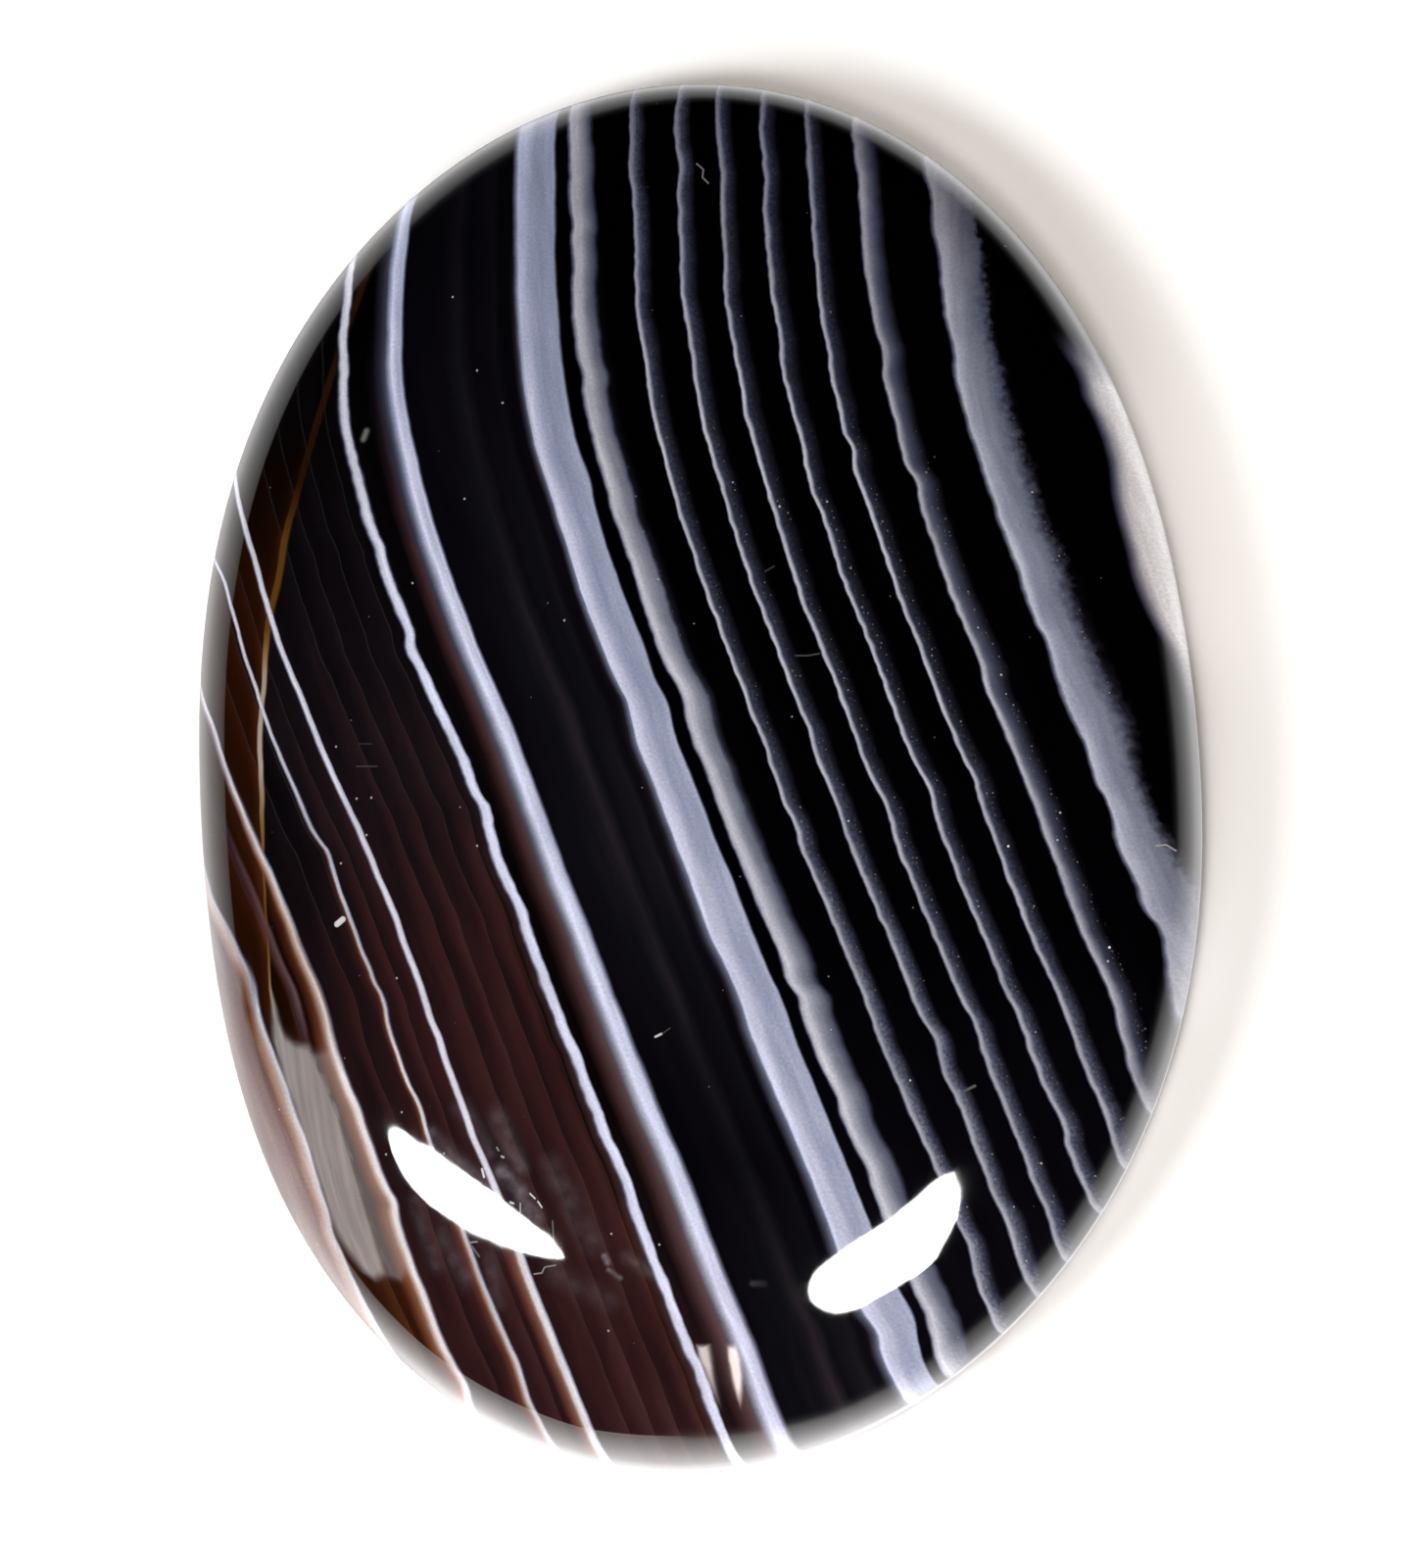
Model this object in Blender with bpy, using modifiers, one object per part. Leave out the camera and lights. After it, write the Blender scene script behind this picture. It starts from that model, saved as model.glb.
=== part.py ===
"""Cabochon of banded agate: one oval stone, domed on top and ground flat behind.

It rests on its flat back at z = 0, dome up (+Z), with its length along Y and its
origin in the middle of the back. Lengths are in metres.
"""
import math

import bmesh
import bpy

# Driving dimensions
WIDTH = 0.0300           # across the stone, along X
LENGTH = 0.0418          # from end to end, along Y
THICKNESS = 0.0065       # from the back to the top of the dome
GIRDLE_TOP = 0.00115     # height where the dome meets the upright girdle
BACK_BEVEL = 0.00045     # bevel ground round the edge of the back

# The oval is cut by hand, so its rim leaves a true ellipse in a few slow waves.
# Each is (waves in one turn, share of the radius by cosine, share by sine).
RIM_WAVES = (
    (1, 0.0, 0.013),      # a little fuller towards the far end
    (2, 0.0, -0.006),     # leans slightly off the long axis
    (3, 0.006, -0.005),
    (4, -0.010, -0.007),  # shoulders a touch squarer than an ellipse
)

# How finely the turned dome is divided
TURN_STEPS = 128
DOME_ROWS = 24
BEVEL_SEGMENTS = 2
SHARP_ANGLE = math.radians(30)
BACK_EDGE_ANGLE = math.radians(60)
MERGE_DISTANCE = 0.00001

COLLECTION_NAME = "agate_cabochon"
STONE_NAME = "cabochon"
AGATE_COLOUR = (0.020, 0.014, 0.015, 1.0)
AGATE_ROUGHNESS = 0.06
AGATE_IOR = 1.54


def clear_scene():
    """Removes whatever objects the file opened with."""
    for old in list(bpy.data.objects):
        bpy.data.objects.remove(old, do_unlink=True)


def agate_material():
    """Polished, near-black agate."""
    material = bpy.data.materials.new("polished_agate")
    material.use_nodes = True
    shader = material.node_tree.nodes["Principled BSDF"]
    shader.inputs["Base Color"].default_value = AGATE_COLOUR
    shader.inputs["Roughness"].default_value = AGATE_ROUGHNESS
    shader.inputs["Metallic"].default_value = 0.0
    shader.inputs["IOR"].default_value = AGATE_IOR
    return material


def dome_profile():
    """Half section of a round stone of the oval's width, from the dome's top down its side.

    The dome is a quarter ellipse that meets the girdle upright; the girdle then runs
    straight down to the back, which closes at the axis.
    """
    radius = WIDTH / 2
    rise = THICKNESS - GIRDLE_TOP
    points = []
    for row in range(DOME_ROWS + 1):
        angle = math.pi / 2 * (1 - row / DOME_ROWS)
        points.append((radius * math.cos(angle), GIRDLE_TOP + rise * math.sin(angle)))
    points[0] = (0.0, THICKNESS)
    points.append((radius, 0.0))
    points.append((0.0, 0.0))
    return points


def turned_blank(collection):
    """The round stone that the profile gives when it is turned about Z."""
    points = dome_profile()
    mesh = bpy.data.meshes.new("dome_profile")
    edges = [(i, i + 1) for i in range(len(points) - 1)]
    mesh.from_pydata([(radius, 0.0, height) for radius, height in points], edges, [])
    blank = bpy.data.objects.new("turned_blank", mesh)
    collection.objects.link(blank)

    screw = blank.modifiers.new("turn", "SCREW")
    screw.axis = "Z"
    screw.angle = math.tau
    screw.steps = TURN_STEPS
    screw.render_steps = TURN_STEPS
    screw.use_merge_vertices = True
    screw.merge_threshold = MERGE_DISTANCE
    return blank


def rim_radius(angle):
    """Distance from the axis to the rim in this direction, before it is sized."""
    ellipse = 1 / math.hypot(math.cos(angle) / WIDTH, math.sin(angle) / LENGTH)
    waves = sum(by_cos * math.cos(turns * angle) + by_sin * math.sin(turns * angle)
                for turns, by_cos, by_sin in RIM_WAVES)
    return ellipse * (1 + waves)


def stretch_to_oval(bm):
    """Moves the round blank's walls out to the oval, centred and at its full size."""
    for vert in bm.verts:
        angle = math.atan2(vert.co.y, vert.co.x)
        stretch = rim_radius(angle) / WIDTH
        vert.co.x *= stretch
        vert.co.y *= stretch
    for axis, size in ((0, WIDTH), (1, LENGTH)):
        low = min(vert.co[axis] for vert in bm.verts)
        high = max(vert.co[axis] for vert in bm.verts)
        for vert in bm.verts:
            vert.co[axis] = (vert.co[axis] - (low + high) / 2) * size / (high - low)


def join_back(bm):
    """Makes the flat back one face."""
    bm.normal_update()
    back = [face for face in bm.faces if face.normal.z < -0.99]
    bmesh.ops.dissolve_faces(bm, faces=back, use_verts=True)


def build_stone(collection):
    """The finished stone: turned, stretched to the oval and bevelled round its back."""
    blank = turned_blank(collection)
    depsgraph = bpy.context.evaluated_depsgraph_get()
    mesh = bpy.data.meshes.new_from_object(blank.evaluated_get(depsgraph))
    bpy.data.objects.remove(blank, do_unlink=True)
    mesh.name = STONE_NAME

    bm = bmesh.new()
    bm.from_mesh(mesh)
    stretch_to_oval(bm)
    join_back(bm)
    bm.to_mesh(mesh)
    bm.free()
    mesh.shade_smooth()
    mesh.set_sharp_from_angle(angle=SHARP_ANGLE)

    stone = bpy.data.objects.new(STONE_NAME, mesh)
    collection.objects.link(stone)
    bevel = stone.modifiers.new("back_bevel", "BEVEL")
    bevel.width = BACK_BEVEL
    bevel.segments = BEVEL_SEGMENTS
    bevel.limit_method = "ANGLE"
    bevel.angle_limit = BACK_EDGE_ANGLE
    mesh.materials.clear()
    mesh.materials.append(agate_material())
    return stone


def build():
    clear_scene()
    collection = bpy.data.collections.new(COLLECTION_NAME)
    bpy.context.scene.collection.children.link(collection)
    build_stone(collection)


build()
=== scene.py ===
"""Looks of the banded agate cabochon: its polished stone, its bands and the light on it.

Lengths are in metres. The bands are set out in photo pixels: a point of the stone has the
column and row at which the photo shows it, and 34 columns make a millimetre. Levels are
eight-bit brightness values of the finished picture, so the light's own change over the
dome is taken out of them.
"""
import math

import bpy
from mathutils import Matrix, Vector


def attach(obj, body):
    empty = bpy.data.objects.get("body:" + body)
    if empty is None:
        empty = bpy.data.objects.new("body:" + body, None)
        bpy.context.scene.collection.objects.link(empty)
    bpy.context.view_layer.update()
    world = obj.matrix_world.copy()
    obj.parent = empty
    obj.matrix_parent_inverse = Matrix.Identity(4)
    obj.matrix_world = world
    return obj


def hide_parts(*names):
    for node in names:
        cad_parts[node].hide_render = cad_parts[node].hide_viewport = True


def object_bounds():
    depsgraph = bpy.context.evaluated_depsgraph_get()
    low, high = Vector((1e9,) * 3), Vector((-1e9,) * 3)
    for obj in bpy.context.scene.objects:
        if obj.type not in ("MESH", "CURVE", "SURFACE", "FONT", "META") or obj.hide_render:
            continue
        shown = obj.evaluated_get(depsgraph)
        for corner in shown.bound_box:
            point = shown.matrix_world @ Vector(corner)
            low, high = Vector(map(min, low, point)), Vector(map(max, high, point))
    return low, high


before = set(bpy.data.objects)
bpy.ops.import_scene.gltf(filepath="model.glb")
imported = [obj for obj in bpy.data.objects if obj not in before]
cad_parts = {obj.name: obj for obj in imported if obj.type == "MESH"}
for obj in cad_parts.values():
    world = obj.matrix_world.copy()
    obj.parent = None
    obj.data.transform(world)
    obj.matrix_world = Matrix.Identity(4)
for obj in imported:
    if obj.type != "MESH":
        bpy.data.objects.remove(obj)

CAD_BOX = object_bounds()

# Photo and camera
PHOTO_WIDTH, PHOTO_HEIGHT = 1431, 1600
PIXELS_PER_MM = 34.17                 # on the stone
PIXEL = 0.001 / PIXELS_PER_MM
LOOK_AT = Vector((0.0, 0.0, 0.001))   # where the camera looks
LOOK_COLUMN, LOOK_ROW = 712.9, 785.7  # the photo's pixel that shows LOOK_AT
CAMERA_DISTANCE = 0.220
CAMERA_TILT_X = math.radians(4)       # the camera stands a little to the right
CAMERA_TILT_Y = math.radians(8)       # and a little towards the photo's bottom edge
SENSOR = 36.0                         # mm, along the photo's height

# Stone, as in the solid
GIRDLE_TOP = 0.00115
BACK_BEVEL = 0.00045
RIM_WAVES = ((1, 0.0, 0.013), (2, 0.0, -0.006), (3, 0.006, -0.005), (4, -0.010, -0.007))
TURN_STEPS = 400
DOME_ROWS = 100
BEVEL_STEPS = 4
BACK_RINGS = (0.9, 0.6, 0.3)
SHARP_ANGLE = math.radians(30)

# The bands lean as they go down, so lower ground shows them further right
BAND_LEAN = 0.18

# Lines between the bands: (column, row) where the photo shows them
SEAMS = {
    "hem": (  # outermost white line, lower left
        (212, 890), (218, 912), (224, 925), (233, 942), (245, 966), (258, 998), (264, 1033),
        (279, 1073), (290, 1100), (300, 1129), (313, 1161), (320, 1184), (330, 1215), (338, 1240),
        (342, 1258), (352, 1280), (362, 1303), (374, 1328)),
    "amber": (  # white line with the wide brown glow
        (203, 695), (213, 720), (221, 740), (230, 770), (239, 795), (247, 815), (263, 855),
        (279, 890), (300, 940), (315, 978), (328, 1005), (338, 1036), (342, 1055), (352, 1090),
        (368, 1130), (382, 1170), (398, 1212), (406, 1226), (408, 1240), (420, 1280), (436, 1320),
        (455, 1370), (466, 1392), (478, 1412), (487, 1440)),
    "thread": (  # thinnest white line
        (220, 572), (228, 590), (237, 620), (250, 667), (265, 712), (272, 735), (288, 775),
        (308, 822), (318, 845), (325, 857), (333, 868), (340, 890), (354, 930), (362, 950), (369, 970),
        (378, 990), (382, 1002), (388, 1012), (393, 1026), (396, 1045), (408, 1080), (420, 1110), (426, 1122),
        (438, 1160), (455, 1205), (472, 1252), (485, 1290), (503, 1335), (518, 1370), (527, 1390),
        (534, 1410), (540, 1430), (550, 1450), (557, 1463)),
    "cord": (  # white line left of the brown field
        (240, 490), (245, 520), (253, 550), (261, 578), (267, 600), (273, 620), (279, 640),
        (284, 657), (302, 700),
        (320, 745), (341, 795), (362, 838), (369, 854), (386, 895), (401, 930), (415, 970),
        (428, 1003), (438, 1035), (448, 1060), (454, 1080), (466, 1112), (483, 1160), (503, 1206),
        (524, 1262), (540, 1305), (556, 1345), (572, 1385), (588, 1425), (603, 1460), (613, 1481)),
    "ripple": (  # middle of the wavy white line
        (356, 285), (353, 318), (350, 345), (351, 375), (350, 395), (351, 412), (353, 435),
        (361, 470), (369, 500), (375, 525), (380, 541), (389, 560), (394, 582), (404, 608),
        (412, 628), (419, 645), (421, 660), (436, 692), (449, 722), (459, 742), (468, 762),
        (476, 778), (481, 792), (487, 808), (496, 824), (501, 845), (507, 868), (522, 905),
        (532, 925), (544, 962), (557, 998), (570, 1030), (582, 1062), (591, 1080), (597, 1098),
        (609, 1130), (625, 1170), (634, 1188), (642, 1207), (652, 1240), (667, 1280), (683, 1320),
        (698, 1360), (716, 1400), (730, 1440), (747, 1480)),
    "blade": (  # crisp right edge of the bright blue-white line
        (419, 225), (414, 262), (411, 310), (410, 350), (412, 400), (419, 440), (428, 480),
        (438, 520), (451, 560), (465, 600), (480, 640), (496, 680), (514, 720), (530, 760),
        (547, 805), (562, 846), (582, 900), (599, 940), (621, 1000), (637, 1040), (653, 1080),
        (677, 1140), (703, 1200), (725, 1260), (749, 1320), (774, 1380), (796, 1440), (808, 1480)),
    "broad_left": (  # left edge of the broad blue band
        (529, 135), (526, 180), (526, 240), (528, 320), (531, 360), (536, 400), (543, 440),
        (554, 480), (561, 500), (567, 520), (580, 560), (592, 600), (607, 640), (623, 680),
        (632, 700), (640, 715), (645, 735), (651, 760), (667, 800), (682, 840), (697, 880),
        (712, 920), (727, 960), (742, 990), (751, 1010), (768, 1060), (784, 1100), (801, 1140),
        (818, 1180), (842, 1240), (856, 1280), (881, 1340), (895, 1360), (899, 1380), (908, 1402),
        (915, 1435)),
    "broad_right": (
        (568, 130), (567, 200), (567, 280), (570, 320), (575, 380), (582, 420), (591, 460),
        (603, 490), (606, 510), (614, 540), (627, 580), (642, 620), (658, 660), (668, 690),
        (678, 710), (685, 730), (687, 742), (701, 780), (717, 820), (732, 860), (749, 900),
        (764, 940), (780, 980), (798, 1020), (812, 1060), (828, 1100), (845, 1140), (861, 1180),
        (877, 1220), (889, 1250), (917, 1313), (932, 1343), (938, 1372), (947, 1398), (952, 1416)),
    "milky": (  # left edge of the band beside the broad one
        (580, 115), (581, 160), (581, 205), (584, 230), (582, 245), (584, 262), (583, 290),
        (584, 320), (588, 350), (590, 370), (595, 382), (595, 400), (603, 440), (614, 480),
        (621, 502), (624, 520), (639, 560), (652, 600), (665, 640), (680, 680), (692, 700),
        (699, 720), (703, 740), (718, 780), (733, 820), (748, 860), (764, 900), (781, 940),
        (799, 980), (804, 1002), (815, 1015), (818, 1032), (828, 1060), (844, 1100), (855, 1120),
        (859, 1140), (868, 1160), (884, 1190), (889, 1206), (901, 1240), (931, 1312), (944, 1340),
        (952, 1370), (960, 1395), (964, 1408)),
    "fine_1": (
        (645, 96), (643, 140), (643, 180), (646, 200), (649, 260), (649, 300), (650, 320),
        (658, 360), (663, 400), (671, 440), (682, 480), (692, 520), (706, 560), (719, 600),
        (734, 640), (749, 680), (758, 700), (764, 720), (780, 760), (787, 780), (801, 820),
        (815, 850), (817, 862), (834, 900), (850, 940), (866, 980), (883, 1020), (897, 1060),
        (914, 1100), (931, 1140), (949, 1180), (965, 1215), (979, 1252), (988, 1268), (994, 1298),
        (1005, 1330), (1017, 1368)),
    "fine_2": (
        (692, 94), (689, 142), (694, 170), (692, 192), (693, 220), (695, 260), (696, 300),
        (703, 340), (708, 380), (715, 420), (725, 460), (737, 500), (749, 540), (762, 580),
        (777, 620), (792, 660), (807, 700), (824, 740), (837, 780), (853, 820), (867, 860),
        (883, 900), (900, 940), (917, 980), (932, 1020), (941, 1040), (954, 1058), (958, 1080),
        (965, 1100), (976, 1120), (991, 1160), (1006, 1200), (1013, 1220), (1025, 1240),
        (1031, 1260), (1044, 1300), (1053, 1330)),
    "fine_3": (
        (732, 94), (732, 145), (736, 172), (736, 200), (739, 260), (740, 300), (746, 340),
        (754, 380), (761, 420), (772, 460), (783, 500), (796, 540), (808, 580), (821, 620),
        (838, 660), (854, 700), (869, 740), (883, 780), (893, 800), (903, 819), (909, 838),
        (915, 860), (931, 900), (947, 940), (964, 980), (973, 1003), (981, 1020), (993, 1042),
        (1005, 1080), (1021, 1120), (1037, 1160), (1052, 1200), (1071, 1246), (1076, 1265),
        (1085, 1300)),
    "fine_4": (
        (778, 98), (776, 140), (781, 180), (780, 205), (782, 240), (786, 280), (790, 312),
        (796, 342), (797, 362), (804, 400), (815, 440), (824, 480), (829, 502), (838, 522),
        (850, 560), (864, 600), (881, 640), (896, 680), (911, 720), (921, 748), (935, 780),
        (946, 800), (953, 820), (957, 840), (973, 880), (988, 920), (1006, 960), (1021, 1000),
        (1040, 1040), (1054, 1080), (1071, 1120), (1086, 1150), (1089, 1170), (1101, 1200),
        (1114, 1235), (1118, 1262)),
    "fine_5": (
        (822, 108), (823, 145), (827, 200), (830, 240), (834, 280), (838, 320), (846, 360),
        (848, 382), (858, 420), (861, 440), (871, 460), (873, 482), (881, 502), (894, 540),
        (908, 580), (922, 620), (939, 660), (953, 700), (969, 740), (987, 780), (996, 800),
        (1001, 820), (1016, 860), (1031, 900), (1046, 940), (1063, 980), (1082, 1020),
        (1096, 1060), (1111, 1100), (1129, 1140), (1138, 1172), (1144, 1205)),
    "fine_6": (
        (870, 130), (876, 180), (879, 220), (882, 260), (888, 300), (896, 340), (902, 356),
        (903, 380), (912, 420), (922, 460), (926, 474), (936, 490), (940, 512), (949, 540),
        (963, 580), (978, 620), (996, 660), (1004, 680), (1008, 700), (1025, 740), (1042, 780),
        (1058, 820), (1072, 860), (1088, 900), (1102, 940), (1120, 980), (1138, 1020),
        (1148, 1060), (1160, 1100), (1170, 1130), (1178, 1160)),
    "shore_left": (  # crisp left edge of the grey band near the right rim
        (944, 178), (951, 200), (953, 238), (958, 256), (961, 290), (965, 320), (973, 355),
        (975, 380), (985, 420), (997, 460), (1010, 500), (1023, 540), (1039, 580), (1051, 620),
        (1070, 660), (1076, 684), (1089, 720), (1107, 760), (1120, 800), (1132, 822), (1140, 860),
        (1159, 900), (1169, 928), (1182, 944), (1188, 965), (1193, 1005), (1200, 1040)),
    "shore_right": (  # its ragged right edge
        (994, 222), (1001, 260), (1004, 300), (1009, 340), (1020, 380), (1029, 420), (1042, 460),
        (1054, 500), (1067, 540), (1081, 568), (1094, 620), (1110, 660), (1126, 700), (1143, 740),
        (1151, 780), (1165, 820), (1185, 862), (1212, 905)),
    "shell": (  # inner edge of the white layer at the right rim
        (1090, 360), (1106, 384), (1113, 408), (1124, 430), (1136, 462), (1140, 490), (1142, 508),
        (1153, 550), (1161, 582), (1170, 610), (1183, 638), (1200, 668), (1212, 700)),
    "ghost": (  # upright seam in the clear brown stone, lower left
        (304, 500), (300, 515), (294, 535), (290, 552), (287, 575), (282, 600), (277, 620), (273, 640),
        (271, 665), (269, 700), (267, 720), (265, 745), (265, 765), (266, 790), (267, 810),
        (267, 835), (268, 860), (269, 900), (273, 960), (275, 1000), (278, 1045)),
}

# Level across a band: (pixels right of its seam, level), at one or more rows
CORD_LEVELS = (
    (700, ((-5, 0), (-3, 130), (-1.5, 210), (2.5, 180), (4.5, 0))),
    (1200, ((-6, 0), (-3, 215), (1, 220), (2.5, 170), (4.5, 0))),
    (1300, ((-20, 0), (-8, 80), (-4, 205), (0.5, 220), (3, 150), (5, 0))),
)
THREAD_LEVELS = (
    (740, ((-5, 0), (-2.5, 205), (0, 180), (2, 0))),
    (920, ((-8, 0), (-3.5, 30), (-1, 180), (1.5, 175), (3.5, 0))),
    (1120, ((-8, 0), (-5, 40), (-2.5, 210), (-0.5, 200), (2, 0))),
    (1330, ((-16, 0), (-8, 40), (-2, 180), (0.5, 185), (4, 0))),
)
AMBER_LEVELS = (  # with a faint lilac line beside it
    (780, ((-14, 0), (-6, 205), (-4, 150), (-2, 0))),
    (900, ((-46, 0), (-34, 50), (-29, 0), (-15, 10), (-5, 205), (-2.5, 170), (1, 0))),
    (1035, ((-46, 0), (-34, 75), (-29, 0), (-18, 40), (-7, 210), (-4, 100), (0, 0))),
    (1110, ((-28, 0), (-14, 80), (-7, 215), (-3.5, 215), (1, 0))),
)
# Left of the hem line, more than about 20 pixels out towards the rim, its plain grey is painted reflection of
# the pale ground
HEM_AND_RIM_REFLECTION_LEVELS = (
    (980, ((-50, 60), (-38, 100), (-24, 85), (-12, 155), (-5, 160), (0, 0))),
    (1035, ((-50, 100), (-22, 80), (-16, 20), (-10, 75), (0, 200), (4, 0))),
    (1075, ((-50, 85), (-20, 75), (-10, 130), (-2, 210), (2, 0))),
    (1200, ((-60, 50), (-44, 125), (-20, 115), (-8, 190), (-4, 200), (0, 0))),
)
RIPPLE_LEVELS = (
    (350, ((-8, 0), (-4, 170), (-1, 195), (3, 185), (7, 0))),
    (700, ((-10, 0), (-6, 200), (0, 220), (2.5, 175), (5, 0))),
    (1140, ((-18, 0), (-10, 30), (-6, 210), (0, 225), (2, 195), (4.5, 0))),
)
BLADE_LEVELS = (
    (330, ((-34, 0), (-20, 50), (-12, 195), (-5, 160), (-2, 160), (2, 0))),
    (650, ((-42, 0), (-24, 55), (-12, 220), (-5, 185), (-2, 205), (2, 0))),
    (1130, ((-50, 0), (-27, 70), (-15, 225), (-5, 200), (2, 0))),
)
MILKY_LEVELS = (
    (240, ((-2.5, 0), (3, 155), (10, 140), (23, 60), (28, 0))),
    (620, ((-3.5, 0), (0, 165), (3, 190), (14, 130), (22, 105), (26, 20), (34, 0))),
    (1100, ((-3.5, 0), (0, 170), (4, 200), (16, 125), (26, 80), (32, 0))),
)
FINE_LEVELS = (  # a thin white line with a grey shoulder on its right, which gains down the stone
    (140, ((-2.5, 0), (0, 115), (2, 105), (6, 48), (16, 0))),
    (440, ((-3, 0), (-1, 175), (0.5, 175), (4, 50), (18, 0))),
    (740, ((-3, 0), (-1, 185), (0.5, 180), (4, 50), (18, 0))),
    (1100, ((-3, 0), (0, 165), (2, 150), (5, 95), (18, 0))),
)
FINE_6_LEVELS = (
    (220, ((-3, 0), (0, 130), (2, 138), (8, 90), (22, 0))),
    (440, ((-4, 0), (-1, 165), (6, 72), (22, 0))),
    (700, ((-5, 0), (-2, 172), (0, 168), (4, 85), (23, 0))),
    (960, ((-6, 0), (-2, 168), (2, 130), (8, 58), (20, 0))),
)
SHELL_LEVELS = (
    (345, ((-8, 0), (60, 0))),
    (400, ((-8, 0), (4, 175), (10, 214), (60, 222))),
)

# The same across a band that has a seam on either side: (share of its width, level)
BROAD_LEVELS = (
    (240, ((-0.1, 0), (0.07, 168), (0.5, 125), (0.94, 134), (1.03, 0))),
    (610, ((-0.2, 0), (-0.04, 110), (0.0, 210), (0.5, 140), (0.95, 160), (1.02, 0))),
    (1150, ((-0.3, 0), (-0.04, 105), (0.03, 215), (0.5, 160), (0.95, 170), (1.02, 0))),
)
SHORE_LEVELS = (
    (240, ((-0.1, 0), (0.05, 145), (0.5, 105), (0.95, 70), (1.12, 0))),
    (600, ((-0.1, 0), (0.05, 182), (0.25, 135), (0.75, 102), (1.2, 0))),
    (880, ((-0.1, 0), (0.05, 172), (0.5, 130), (1.0, 110), (1.4, 0))),
)

# Each band's levels; its tint at two rows: -1 brown-edged, 0 plain white, 1 blue-white; and
# what is added to that across it, (pixels right of its seam, tint), up to a largest tint
BANDS = (
    # The hem's plain grey far left of its line is painted reflection of the pale ground
    ("hem", HEM_AND_RIM_REFLECTION_LEVELS, ((980, -0.4), (1040, -0.6)),
     ((-22, 0.0), (-18, -0.4), (-8, -0.4), (-4, 0.8)), 0.3),
    ("amber", AMBER_LEVELS, ((760, -0.2), (920, -1.0)),
     ((-30, 0.55), (-25, 0.0), (-6, 0.0), (-1, 1.3)), 0.3),
    ("thread", THREAD_LEVELS, ((740, 0.0), (960, -1.0)), ((-4, 0.0), (0, 1.2)), 0.3),
    ("cord", CORD_LEVELS, ((1160, 0.0), (1300, -0.9)), ((-6, 0.0), (-1, 1.2)), 0.3),
    ("ripple", RIPPLE_LEVELS, ((400, 0.3), (700, 0.9)), None, 1.0),
    ("blade", BLADE_LEVELS, ((300, 0.2), (600, -0.5)), ((-28, 0.0), (-16, 1.5)), 1.0),
    ("milky", MILKY_LEVELS, ((240, 0.0), (900, 0.3)), None, 1.0),
    ("fine_6", FINE_6_LEVELS, ((240, 0.0), (800, 0.2)), None, 1.0),
    ("shell", SHELL_LEVELS, ((400, 0.1), (600, -0.1)), None, 1.0),
)
WIDE_BANDS = (
    ("broad_left", "broad_right", BROAD_LEVELS, ((240, 0.9), (600, 1.0))),
    ("shore_left", "shore_right", SHORE_LEVELS, ((240, 0.2), (600, 0.6))),
)
FINE_BANDS = (("fine_1", 1.2), ("fine_2", 1.15), ("fine_3", 0.95), ("fine_4", 0.9),
              ("fine_5", 0.92))       # and the strength of its shoulder
FINE_TINT = ((240, 0.0), (800, 0.15))

# Tints of the white layers as they thin out, and of the clear stone: (level, colour as seen)
PLAIN_WHITE = ((20, (19, 20, 27)), (48, (45, 48, 64)), (104, (103, 104, 116)),
               (160, (160, 160, 168)), (205, (207, 205, 209)))
BLUE_WHITE = ((18, (22, 18, 24)), (50, (48, 50, 62)), (138, (131, 138, 162)),
              (183, (182, 183, 205)), (225, (222, 225, 251)))
BROWN_WHITE = ((18, (46, 18, 10)), (56, (90, 56, 35)), (84, (114, 84, 70)),
               (155, (174, 155, 149)), (216, (222, 216, 218)))
MAROON = ((5, (9, 5, 5)), (12, (20, 12, 15)), (22, (45, 22, 23)), (37, (62, 37, 37)),
          (50, (73, 50, 52)))
RUST = ((5, (14, 5, 1)), (12, (32, 12, 3)), (18, (42, 18, 7)), (40, (72, 40, 18)))
GOLD = ((25, (47, 25, 7)), (50, (82, 50, 18)), (74, (106, 74, 36)), (134, (152, 134, 119)),
        (160, (177, 160, 152)))
SMOKE = ((3, (4, 3, 6)), (13, (14, 13, 17)), (28, (33, 28, 33)))
TINT_SPAN = 6.0         # largest ratio of red or blue to green in these tints

# Level of the clear stone right of a seam: (row, level)
FIELDS = (
    (None, ((700, 15), (1300, 22))),
    ("hem", ((1050, 6), (1120, 16), (1300, 20))),
    ("amber", ((830, 6), (1040, 15), (1430, 21))),
    ("thread", ((550, 6), (860, 15), (1330, 21))),
    ("cord", ((300, 2), (600, 7), (900, 17), (1430, 22))),
    ("ripple", ((300, 2), (640, 10), (1150, 8), (1330, 25))),
    ("blade", ((250, 10), (560, 20), (900, 30), (1200, 15), (1430, 36))),
    ("broad_right", ((250, 1), (1000, 2), (1300, 8))),
)
# Share of that level across the two fields that change from one side to the other
RIPPLE_FIELD = ((0.0, 0.7), (0.35, 0.5), (0.7, 0.85), (1.0, 1.0))
BLADE_FIELD = ((0.0, 0.3), (0.35, 0.5), (0.5, 1.0), (0.6, 0.4), (0.8, 0.7), (0.85, 0.35))

# Faint lines in the clear stone: left seam, right seam, where they start, end and repeat
FAINT_LINES = (
    ("hem", "amber", 0.1, 0.9, 0.4),
    ("amber", "thread", 0.1, 0.9, 0.4),
    ("thread", "cord", 0.02, 0.98, 0.48),
    ("cord", "ripple", 0.1, 0.9, 0.19),
)
FAINT_ROWS = (420, 560)               # where they come in
FAINT_GAIN = 0.7                      # how much they brighten towards each crest
FAINT_CREST = ((420, 26), (700, 44), (1430, 40))
WOBBLY = ("ripple", "milky", "fine_1", "fine_2", "fine_3", "fine_4", "fine_5", "fine_6",
          "shore_left", "shore_right")    # seams with small uneven waves

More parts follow.
